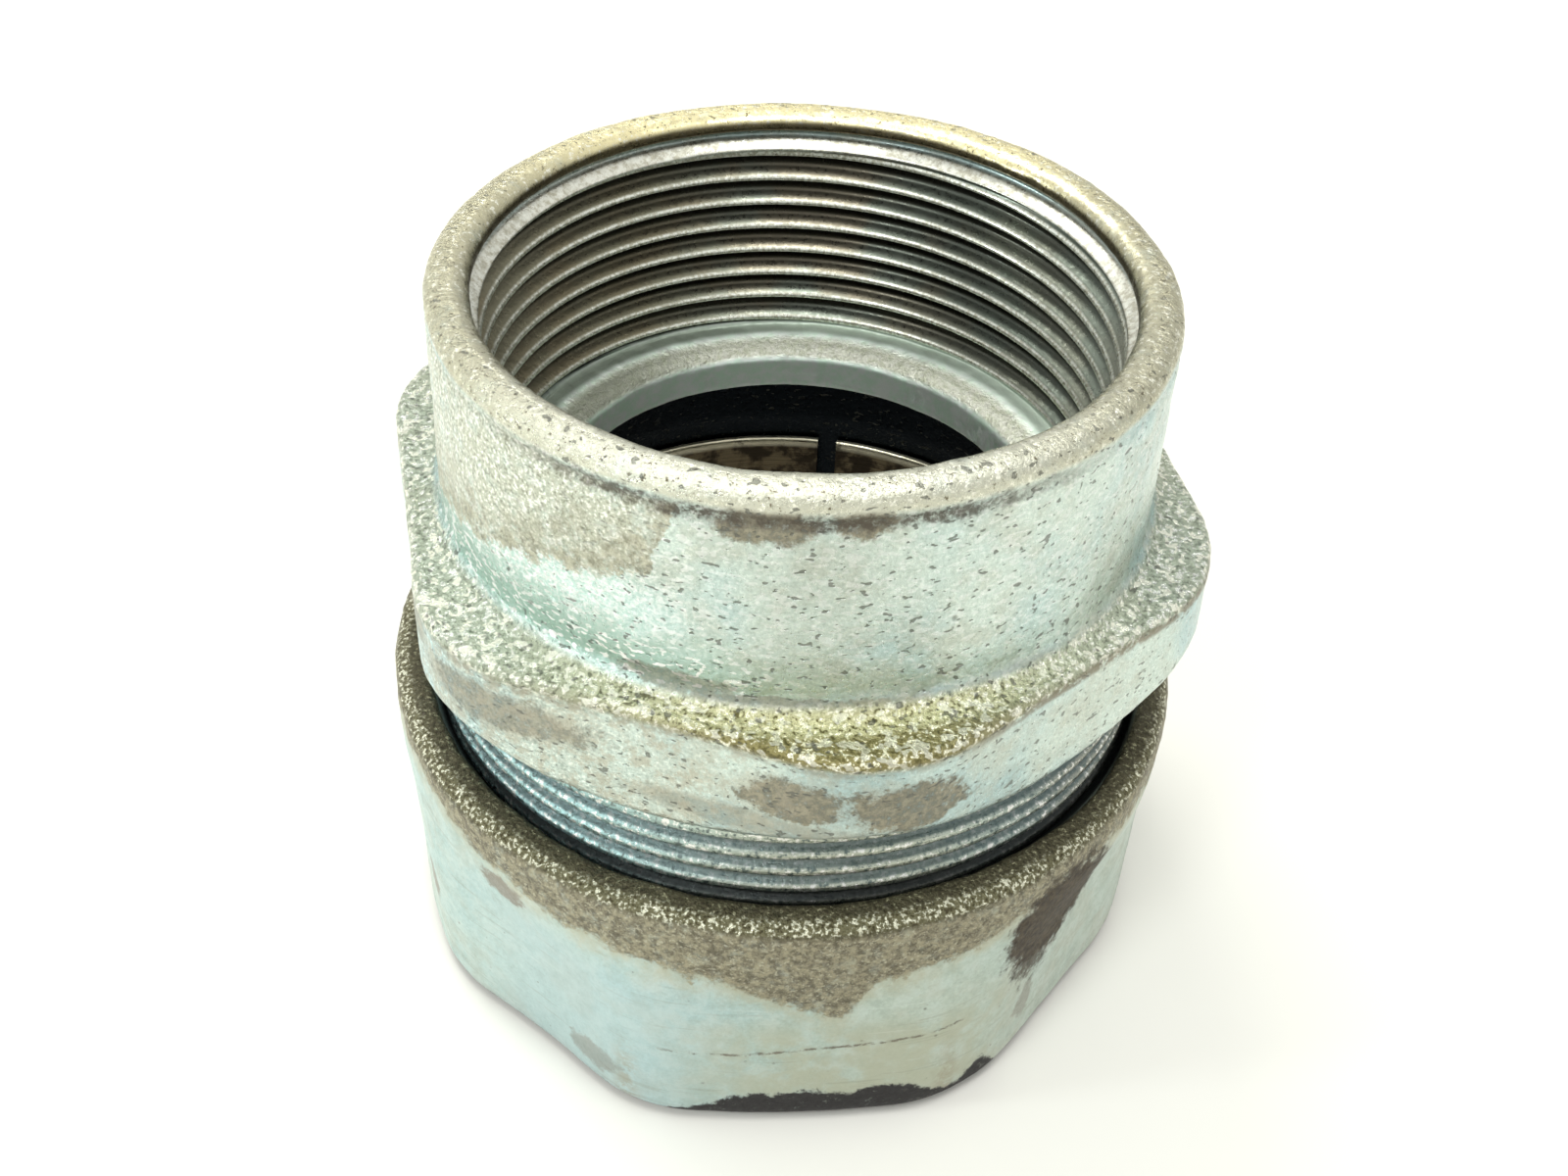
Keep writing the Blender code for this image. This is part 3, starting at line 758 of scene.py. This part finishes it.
def body_rim_coats(net):
    """The grainy rim, painted lighter and yellower at the back as a highlight, and the broken dark
    line under it, painted shade mixed with brown stain.
    """
    z, radius, around, rag = net.z, net.radius, net.around, net.rag
    rim = (z.ramp(Z_TOP - 2.6, Z_TOP - 1.7)
           | radius.ramp(36.2, 35.8) * z.ramp(Z_TOP - 3.4, Z_TOP - 3.1))
    # painted highlight: the back of the rim is lighter and yellower
    back = abs(around - 0.5).ramp(0.18, 0.34)
    tone = back.mix((0.68, 0.68, 0.55), (0.90, 0.81, 0.47))
    sides = abs(around - 0.5).band(0.13, 0.36, soft=0.05)
    tone = (sides * 0.8).mix(tone, (0.50, 0.475, 0.33))
    grains = net.noise(0.7, detail=4, rough=0.72, shift=33.0)
    net.coat(rim * rag.ramp(0.26, 0.50, give=(0.65, 0.97)),
             grains.speckle(base=tone, dark=(0.17, 0.145, 0.085), bright=(1.0, 0.99, 0.84),
                            low=(0.40, 0.34), high=(0.55, 0.64)))
    # painted shade under the rim, broken up and mixed with brown stain, strongest at the front
    height = z + (net.patchy - 0.5) * 2.6
    line = net.outside * height.band(Z_TOP - 3.9, Z_TOP - 2.3, soft=0.4)
    line = line * net.crumb.ramp(0.34, 0.54, give=(0.15, 1.0))
    front = around.band(0.40, 0.60, soft=0.05) * rag.ramp(0.38, 0.50, give=(0.35, 1.0))
    line = line * (0.12 + front * 0.88)
    net.coat(line * 0.9, (0.075, 0.06, 0.045))
    return rim


def body_bore_coats(net):
    """Crests painted bright as highlights and flanks painted dark up to the crest above as its
    shadow, then the lead-in and a painted shadow under the lip.
    """
    z, radius, around, fine = net.z, net.radius, net.around, net.fine
    turn = (z - NPT_START) * (1.0 / NPT_PITCH) - (around - (0.5 - VIEW_DEG / 360.0))
    down = net.math("FRACT", 10.0 - turn)      # 0 on a crest, growing downwards to the next
    bore = radius.ramp(36.4, 35.9)
    inside = bore * z.band(56.4, NPT_TOP - 0.1, soft=0.15)
    # painted shadow: each flank is near black just under the crest above and lightens towards its own
    # crest
    flank = down.ramp(0.42, 0.90)
    clouds = net.noise(11, detail=3, rough=0.5, shift=4.0)
    hue = clouds.ramp(0.42, 0.60).mix((0.20, 0.225, 0.185), (0.225, 0.205, 0.15))
    hue = (around.band(0.06, 0.34, soft=0.05) * 0.7).mix(hue, (0.20, 0.175, 0.105))
    hue = (around.band(0.72, 0.93, soft=0.05) * 0.7).mix(hue, (0.125, 0.15, 0.125))
    tone = flank.mix((0.020, 0.018, 0.014), hue)
    # painted highlight on the crests
    crest = down.ramp(0.86, 0.94) | down.ramp(0.14, 0.09)
    metal = fine.ramp(0.40, 0.60).mix((0.56, 0.56, 0.45), (0.92, 0.95, 0.86))
    net.coat(inside, crest.mix(tone, metal))
    lead_in = bore * z.band(Z_TOP - 5.2, Z_TOP - 4.05, soft=0.12)
    net.coat(lead_in * 0.9,
             net.crumb.ramp(0.35, 0.60).mix((0.50, 0.47, 0.36), (0.88, 0.88, 0.78)))
    # painted shadow in the undercut under the lip
    lip = radius.ramp(35.3, 34.8) * z.band(Z_TOP - 4.0, Z_TOP - 1.9, soft=0.3)
    net.coat(lip * 0.92, (0.085, 0.065, 0.035))
    return bore


def body_throat_coats(net):
    """A socket painted near black as deep shade and a pale throat, whose outer ledge is painted
    darker as shade, most of all on the left.
    """
    z, radius, around = net.z, net.radius, net.around
    # painted shade: the socket below the throat is near black
    socket = radius.ramp(39.45, 39.25) * z.ramp(50.7, 50.2)
    net.coat(socket, (0.008, 0.012, 0.016))
    throat = radius.ramp(34.9, 34.4) * z.band(50.3, 56.6, soft=0.2)
    shoulder = throat * (radius.ramp(27.45, 27.9) * radius.ramp(31.4, 29.6))
    net.coat(throat * 0.9,
             net.patchy.ramp(0.38, 0.6).mix((0.78, 0.98, 0.84), (0.92, 1.0, 0.96)))
    net.coat(shoulder * 0.9,
             net.crumb.ramp(0.34, 0.60).mix((0.76, 0.78, 0.60), (1.0, 1.0, 0.88)))
    # painted shade on the ledge under the thread's end, darkest on the left
    ledge = throat * radius.ramp(30.6, 31.6)
    net.coat(ledge * 0.95,
             around.band(0.03, 0.30, soft=0.06).mix((0.45, 0.53, 0.45), (0.25, 0.29, 0.235)))
    net.coat(shoulder * around.band(0.09, 0.32, soft=0.05) * 0.65, (0.34, 0.37, 0.28))
    return throat, shoulder


def body_gland_coats(net):
    """Crests with painted glints over dark teal roots painted as shade, and a painted shadow where
    the thread goes into the nut.
    """
    z, radius, around = net.z, net.radius, net.around
    gland = z.ramp(45.4, 44.0) * radius.ramp(39.3, 39.8)
    root = gland * radius.ramp(SPIGOT_R - 0.06, SPIGOT_R - 0.42)
    steel = around.band(0.46, 0.60, soft=0.05).mix((0.38, 0.60, 0.60), (0.56, 0.60, 0.50))
    steel = around.ramp(0.56, 0.64).mix(steel, (0.34, 0.35, 0.30))
    # painted glints: the white grains on the crests
    net.coat(gland * 0.92,
             net.grit.speckle(base=steel, dark=(0.14, 0.18, 0.17), bright=(1.0, 1.0, 0.95),
                              low=(0.46, 0.36), high=(0.54, 0.61)))
    # painted shade in the thread's roots
    net.coat(root * 0.85, (0.105, 0.145, 0.145))
    # painted shadow in the gap where the thread goes into the nut
    painted_gap_shadow = gland * z.band(NUT_H - 2.6, NUT_H - 0.95, soft=0.35)
    net.coat(painted_gap_shadow * 0.88, (0.016, 0.016, 0.016))
    return gland


def body_material():
    net = casting("zinc_casting_body")
    net.rag = net.noise(3.4, detail=6, rough=0.74, shift=1.0)
    net.crumb = net.noise(0.85, detail=5, rough=0.74, shift=7.0)
    net.patchy = net.noise(2.0, detail=5, rough=0.75, shift=14.0)
    net.grit = net.noise(0.62, detail=3, rough=0.6, shift=17.0)
    net.outside = net.radius.ramp(37.6, 38.3)
    net.hub = net.outside * net.z.ramp(59.6, 61.0)
    net.left = net.around.ramp(0.50, 0.36) * net.around.ramp(0.05, 0.2)
    body_plating(net)
    stain, low, brown = body_stains(net)
    shelf = body_shelf(net)
    rim = body_rim_coats(net)
    bore = body_bore_coats(net)
    throat, shoulder = body_throat_coats(net)
    gland = body_gland_coats(net)

    # pits: small dents, most at the front, and a few large ones
    dents = net.noise(0.66, detail=1, rough=0.5, shift=71.0, stretch=(0.68, 0.68, 1.15))
    front = net.around.band(0.42, 0.66, soft=0.04)
    small = (dents.ramp(0.345, 0.295) * (1.0 - stain * 0.5)
             * (net.rag + front * 0.26).ramp(0.42, 0.56, give=(0.25, 1.0)))
    large = net.specks(size=4.2, share=0.45, radius=0.09, shift=6.0)
    pits = (small | large) * ((1.0 - bore) * (1.0 - gland))
    net.coat(pits * 0.72, (0.12, 0.125, 0.105))

    rough = net.grain.ramp(0.3, 0.7, give=(0.24, 0.42)) + (stain * 0.4 | brown) * 0.16
    rough = rough + throat * 0.22
    rough = rough - (shelf | rim) * net.grit.ramp(0.52, 0.62) * 0.10
    metal = net.blend(low * 0.6 | brown, 0.90, 0.40)
    coarse = 0.34 + net.left * 0.5 + (shelf | rim * 0.4 | shoulder) * 0.9
    coarse = coarse * (1.0 - bore * (1.0 - shoulder) * 0.8)
    casting_bumps(net, 1.5, coarse)
    net.bump(1.0 - pits, depth=0.14, strength=0.8)
    return net.finish(rough, metal)


# ------------------------------------------------------------------ nut material
# lower edge of the brown band: around, z
BAND_FLOOR = [
    (0.0, 28.0), (0.06, 31.0), (0.12, 26.0), (0.18, 29.0), (0.25, 32.0), (0.33, 32.0),
    (0.37, 30.0), (0.40, 28.6), (0.4162, 27.3), (0.4335, 28.1), (0.4474, 27.0),
    (0.4607, 27.1), (0.4844, 26.0), (0.4951, 24.8), (0.5079, 22.1), (0.5189, 20.4),
    (0.53, 19.9), (0.5345, 23.5), (0.5396, 25.7), (0.5525, 26.3), (0.5677, 27.0),
    (0.5838, 27.9), (0.596, 28.8), (0.62, 31.0), (0.70, 30.0), (0.78, 24.0), (0.86, 30.0),
    (0.93, 27.0), (1.0, 28.0)]
# upper edge of the dark foot: around, z
FOOT_TOP = [
    (0.0, 0.5), (0.2, 0.0), (0.462, 0.0), (0.474, 1.4), (0.485, 3.2), (0.4967, 4.4),
    (0.506, 3.9), (0.5155, 4.9), (0.525, 4.2), (0.5332, 3.4), (0.542, 4.5), (0.5507, 4.8),
    (0.56, 3.8), (0.5686, 1.8), (0.576, 1.2), (0.5864, 3.6), (0.592, 3.2), (0.60, 0.0),
    (0.75, 0.0), (0.8, 4.0), (0.86, 1.0), (1.0, 0.5)]
# the thin dark line across the front: around, z
MARK_LINE = [(0.0, 0.0), (0.455, 13.2), (0.4905, 13.2), (0.5218, 14.3), (0.5502, 14.8),
             (0.5723, 15.6), (0.58, 16.0), (1.0, 30.0)]


def nut_plating(net):
    """Grains, mottling, scratches and tinted areas of the outside, among them a painted shade on the
    right and a painted bluish reflection on the lower front left.
    """
    z, around, fine = net.z, net.around, net.fine
    # painted shade: the right side is yellower and darker
    net.coat(around.ramp(0.47, 0.56) * 0.45, (0.50, 0.53, 0.42))      # yellower to the right
    net.coat(fine.ramp(0.48, 0.38) * 0.22, net.tinted((0.6, 0.62, 0.6)))
    net.coat(fine.ramp(0.56, 0.66) * 0.30, net.tinted((1.35, 1.3, 1.3)))
    clouds = net.noise(7.0, detail=5, rough=0.65, shift=41.0)
    net.coat(clouds.ramp(0.46, 0.62) * 0.45, (0.48, 0.50, 0.42))
    mottle = net.noise(2.6, detail=6, rough=0.70, shift=44.0)
    net.coat(mottle.ramp(0.47, 0.60) * 0.40, (0.60, 0.68, 0.64))
    net.coat(mottle.ramp(0.47, 0.36) * 0.35, (0.33, 0.40, 0.35))
    # painted reflection: a bluish tint on the lower front left
    blue_reflection = around.band(0.375, 0.475, soft=0.03) * z.ramp(29.0, 20.0)
    net.coat(blue_reflection * 0.45, (0.42, 0.565, 0.61))
    clouded = z.ramp(21.0, 15.0) * net.cloud.ramp(0.36, 0.56, give=(0.2, 0.85))
    net.coat(around.band(0.482, 0.60, soft=0.03) * clouded, (0.445, 0.465, 0.36))
    scratch = net.noise(1.7, detail=3, rough=0.6, shift=61.0, stretch=(0.12, 0.12, 2.2))
    net.coat(scratch.ramp(0.62, 0.69) * 0.22, (0.22, 0.22, 0.17))
    net.coat(scratch.ramp(0.37, 0.30) * 0.16, (0.72, 0.78, 0.74))
    corners = around.band(0.568, 0.576, soft=0.004) | around.band(0.443, 0.451, soft=0.004)
    net.coat(corners * z.ramp(16.0, 5.0) * net.patchy.ramp(0.42, 0.56, give=(0.0, 0.55)),
             (0.33, 0.28, 0.19))


def nut_stains(net):
    """The ragged brown band round the top, with its halo, and the patches near it."""
    crumb, patchy, blob = net.crumb, net.patchy, net.blob
    edge = (net.rag - 0.5) * 6.5 + (crumb - 0.5) * 3.2
    above = net.z + edge - net.curve(BAND_FLOOR, low=0.0, high=40.0)
    band = net.outside * above.ramp(-0.6, 0.7)
    dark = (blob(net.blend(0.5, patchy, 0.5), at=(0.6225, 24.0), size=(0.029, 8.2), soft=0.14)
            | blob(patchy, at=(0.614, 19.0), size=(0.014, 5.0), amount=0.9, soft=0.3)
            | blob(net.rag, at=(0.885, 22.0), size=(0.03, 6.0)))
    small = (blob(patchy, at=(0.389, 26.2), size=(0.011, 1.9))
             | blob(patchy, at=(0.612, 9.5), size=(0.006, 3.0), amount=0.7)
             | (blob(patchy, at=(0.334, 12.5), size=(0.006, 2.6))
                | blob(patchy, at=(0.432, 6.0), size=(0.012, 2.0), amount=0.6)))
    tint = crumb.ramp(0.36, 0.64).mix((0.105, 0.090, 0.055), (0.35, 0.32, 0.21))
    tint = (net.fine.ramp(0.57, 0.64) * 0.5).mix(tint, (0.60, 0.58, 0.44))
    halo = above.ramp(-3.8, 0.2) * net.cloud.ramp(0.35, 0.6, give=(0.15, 0.65))
    net.coat(net.outside * halo, (0.46, 0.44, 0.31))
    net.coat(band * patchy.ramp(0.32, 0.50, give=(0.60, 0.96)), tint)
    net.coat(small * 0.8, (0.22, 0.18, 0.14))
    net.coat(dark * net.outside,
             crumb.ramp(0.35, 0.65).mix((0.026, 0.018, 0.009), (0.085, 0.064, 0.036)))
    return band, dark


def nut_top(net):
    """The dull grainy top, with a painted highlight along its outer edge."""
    radius = net.radius
    grit = net.noise(0.46, detail=3, rough=0.6, shift=37.0)
    top = net.z.ramp(NUT_H - 2.0, NUT_H - 1.1) * radius.ramp(42.2, 42.7)
    # painted highlight along the outer edge of the top
    painted_edge_highlight = top * (radius.ramp(44.3, 45.4) * radius.ramp(46.6, 46.2))
    dull = grit.speckle(base=(0.085, 0.077, 0.043), dark=(0.040, 0.033, 0.017),
                        bright=(0.30, 0.29, 0.18), low=(0.46, 0.37), high=(0.56, 0.66))
    highlight_speckle = grit.speckle(base=(0.20, 0.19, 0.105), dark=(0.075, 0.063, 0.03),
                         bright=(1.0, 1.0, 0.80), low=(0.45, 0.36), high=(0.53, 0.60))
    net.coat(top * 0.95, (painted_edge_highlight * 0.75).mix(dull, highlight_speckle))
    return top, grit


def nut_marks(net):
    """The thin line across the front, the dark foot and the inside painted near black as shade."""
    z, crumb, patchy = net.z, net.crumb, net.patchy
    line_z = net.curve(MARK_LINE, low=0.0, high=40.0) + (crumb - 0.5) * 0.9
    mark = net.around.band(0.462, 0.578, soft=0.008) * abs(z - line_z).ramp(0.30, 0.06)
    mark = mark * patchy.ramp(0.44, 0.58)
    ragged_z = z + ((net.rag - 0.5) * 2.6 + (patchy - 0.5) * 3.4)
    foot = net.outside * (ragged_z - net.curve(FOOT_TOP, low=-2.0, high=10.0)).ramp(1.9, 1.2)
    net.coat(mark * 0.8, (0.14, 0.11, 0.08))
    net.coat(foot * crumb.ramp(0.28, 0.42, give=(0.7, 1.0)), (0.016, 0.014, 0.014))
    # painted shade: the inside of the nut is near black
    net.coat(net.radius.ramp(42.4, 41.9) * 0.96, (0.02, 0.024, 0.024))
    return mark, foot


def nut_material():
    net = casting("zinc_casting_nut")
    net.coat(0.6, (0.40, 0.53, 0.51))
    net.rag = net.noise(3.2, detail=6, rough=0.74, shift=21.0)
    net.crumb = net.noise(0.9, detail=5, rough=0.74, shift=27.0)
    net.patchy = net.noise(2.1, detail=5, rough=0.75, shift=24.0)
    net.outside = outside = net.radius.ramp(42.2, 42.9)
    nut_plating(net)
    band, dark = nut_stains(net)
    top, grit = nut_top(net)
    mark, foot = nut_marks(net)

    small = net.specks(size=1.5, share=0.6, radius=0.15, shift=2.0) * net.rag.ramp(0.44, 0.60)
    pits = small | net.specks(size=5.5, share=0.45, radius=0.085, shift=6.0)
    net.coat(pits * outside * 0.65, (0.10, 0.085, 0.07))

    # stains and dirt are rougher and less metallic
    marked = band | dark * outside | foot
    rough = net.grain.ramp(0.3, 0.75, give=(0.34, 0.50)) + marked * (1.0 - top) * 0.14
    rough = rough - top * grit.ramp(0.52, 0.62) * 0.14
    metal = net.blend(marked * (1.0 - top * 0.9), 0.78, 0.35)
    metal = net.blend((dark | foot) * outside, metal, 0.1)
    rough = rough + (dark | foot) * outside * 0.15
    casting_bumps(net, 1.6, 0.20 + (top * 0.7 + band * 0.35))
    net.bump(1.0 - mark, depth=0.10, strength=0.6)
    return net.finish(rough, metal)


# ------------------------------------------------------------------ ring material
def ring_material():
    """Turning lines, dark stains and a painted highlight on the top edge."""
    net = Plating("zinc_ring")
    turned = net.noise(0.5, detail=4, rough=0.6, shift=2.0, stretch=(0.05, 0.05, 3.0))
    stain = net.noise(4.0, detail=5, rough=0.65, shift=8.0)
    net.colour = turned.ramp(0.35, 0.65).mix((0.14, 0.11, 0.065), (0.26, 0.21, 0.13))
    net.coat(stain.ramp(0.44, 0.58, give=(0.0, 0.9)), (0.03, 0.022, 0.015))
    # painted highlight along the ring's top edge
    edge = net.z.ramp(Z_RING_HI - 1.6, Z_RING_HI - 0.8)
    edge = edge * stain.ramp(0.68, 0.56, give=(0.25, 1.0))
    net.coat(edge * 0.9, (1.0, 0.94, 0.72))
    net.bump(turned, depth=0.05, strength=0.6)
    net.bump(net.noise(0.9, detail=3, rough=0.5), depth=0.08, strength=0.6)
    return net.finish(rough=turned.ramp(0.3, 0.7, give=(0.24, 0.42)), metal=0.92)


# ------------------------------------------------------------------ assembly
def place(piece, material, body, node, slot):
    piece.data.materials.clear()
    piece.data.materials.append(material)
    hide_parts(node)
    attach(piece, body)


place(make_body(), body_material(), "body", "union_body", "zinc_body")
place(make_nut(), nut_material(), "nut", "compression_nut", "zinc_nut")
place(make_ring(), ring_material(), "ring", "compression_ring", "zinc_ring")


# ------------------------------------------------------------------ floor, light and camera
# lamps: name, azimuth and elevation in degrees, distance and size in m, power in W, colour
LAMPS = [
    ("window", 140, 56, 0.9, 0.45, 3.2, (1.0, 0.99, 0.95)),
    ("over", -60, 78, 0.9, 0.34, 2.4, (1.0, 1.0, 0.98)),
    ("front", -112, 50, 0.9, 0.20, 1.2, (0.96, 0.99, 1.0)),
    ("low", -152, 15, 0.8, 0.13, 1.7, (0.92, 0.99, 1.0))]
LAMP_TARGET = np.array([0, 0, 0.045])
# brightness of the sky by height: stop, colour
SKY = [(0.0, (0.38, 0.39, 0.39, 1)), (1.0, (0.72, 0.72, 0.71, 1)),
       (0.42, (0.76, 0.76, 0.75, 1)), (0.68, (0.96, 0.96, 0.94, 1))]
# the camera's right, up and back directions and its place in m, each with its matrix end
CAMERA = [(0.96487, 0.260086, 0.037164, 0), (-0.198766, 0.630126, 0.750622, 0),
          (0.171808, -0.73164, 0.659686, 0), (0.035611, -0.154249, 0.179397, 1)]


def floor_material():
    material = bpy.data.materials.new("pale_floor")
    material.use_nodes = True
    net = Net(material.node_tree)
    mottle = net.field("ShaderNodeTexNoise", {"Scale": 9.0})
    pale = mottle.mix((0.88, 0.875, 0.82), (0.86, 0.85, 0.79))
    # a dull area in front of the object darkens what its front reflects;
    # the camera itself sees a plain floor
    azimuth, distance = math.radians(VIEW_DEG + 5), 0.135
    centre = (distance * math.cos(azimuth), distance * math.sin(azimuth), 0)
    spot = net.node("ShaderNodeTexCoord").outputs["Object"]
    away = Field(net, net.vector("DISTANCE", {0: spot, 1: centre}).outputs["Value"])
    fade = away.ramp(0.035, 0.075, give=(1.0, 0.0))
    seen = net.field("ShaderNodeLightPath", output="Is Camera Ray")
    unseen = net.math("MULTIPLY_ADD", seen, -1.0, 1.0)
    surface = material.node_tree.nodes["Principled BSDF"]
    net.put(surface.inputs["Base Color"], (fade * unseen).mix(pale, (0.56, 0.54, 0.49)))
    surface.inputs["Roughness"].default_value = 0.75
    surface.inputs["Specular IOR Level"].default_value = 0.2
    return material


def make_floor():
    mesh = bpy.data.meshes.new("floor")
    grid = bmesh.new()
    bmesh.ops.create_grid(grid, x_segments=8, y_segments=8, size=3.0)
    grid.to_mesh(mesh)
    grid.free()
    floor = link("floor", mesh)
    mesh.materials.append(floor_material())


def make_world():
    """A soft sky that lights the pieces; the camera sees one pale tone."""
    world = bpy.context.scene.world or bpy.data.worlds.new("studio")
    bpy.context.scene.world = world
    world.use_nodes = True
    net = Net(world.node_tree)
    net.tree.nodes.clear()
    direction = net.node("ShaderNodeTexCoord").outputs["Generated"]
    height = net.field("ShaderNodeSeparateXYZ", {0: direction}, output=2)
    sky = net.node("ShaderNodeValToRGB", {0: height})
    stops = sky.color_ramp.elements
    for stop, (position, colour) in zip(stops, SKY[:2]):
        stop.position, stop.color = position, colour
    for position, colour in SKY[2:]:
        stops.new(position).color = colour
    seen = net.field("ShaderNodeLightPath", output="Is Camera Ray")
    tone = seen.mix(sky.outputs[0], (0.90, 0.90, 0.87))
    light = net.field("ShaderNodeBackground", {0: tone, 1: 1.0})
    net.node("ShaderNodeOutputWorld", {0: light})


def make_lamp(name, azimuth, elevation, distance, size, power, colour):
    light = bpy.data.lights.new(name, "AREA")
    light.shape, light.size, light.energy, light.color = "DISK", size, power, colour
    lamp = bpy.data.objects.new(name, light)
    turn, rise = math.radians(azimuth), math.radians(elevation)
    back = np.array([math.cos(rise) * math.cos(turn), math.cos(rise) * math.sin(turn),
                     math.sin(rise)])
    lamp.location = (LAMP_TARGET + back * distance).tolist()
    right = np.cross([0, 0, 1], back)
    right /= np.linalg.norm(right)
    axes = np.column_stack([right, np.cross(back, right), back])
    lamp.rotation_euler = Matrix(axes.tolist()).to_euler()
    bpy.context.scene.collection.objects.link(lamp)


def make_camera():
    data = bpy.data.cameras.new("camera")
    data.sensor_fit, data.sensor_width, data.lens = "HORIZONTAL", 36.0, 40.8024
    data.clip_start, data.clip_end = 0.01, 20.0
    camera = bpy.data.objects.new("camera", data)
    camera.matrix_world = Matrix(CAMERA).transposed()
    bpy.context.scene.collection.objects.link(camera)
    bpy.context.scene.camera = camera
    view = bpy.context.scene.view_settings
    view.view_transform, view.look, view.exposure, view.gamma = "Standard", "None", 0.0, 1.0


make_floor()
make_world()
for lamp_row in LAMPS:
    make_lamp(*lamp_row)
make_camera()
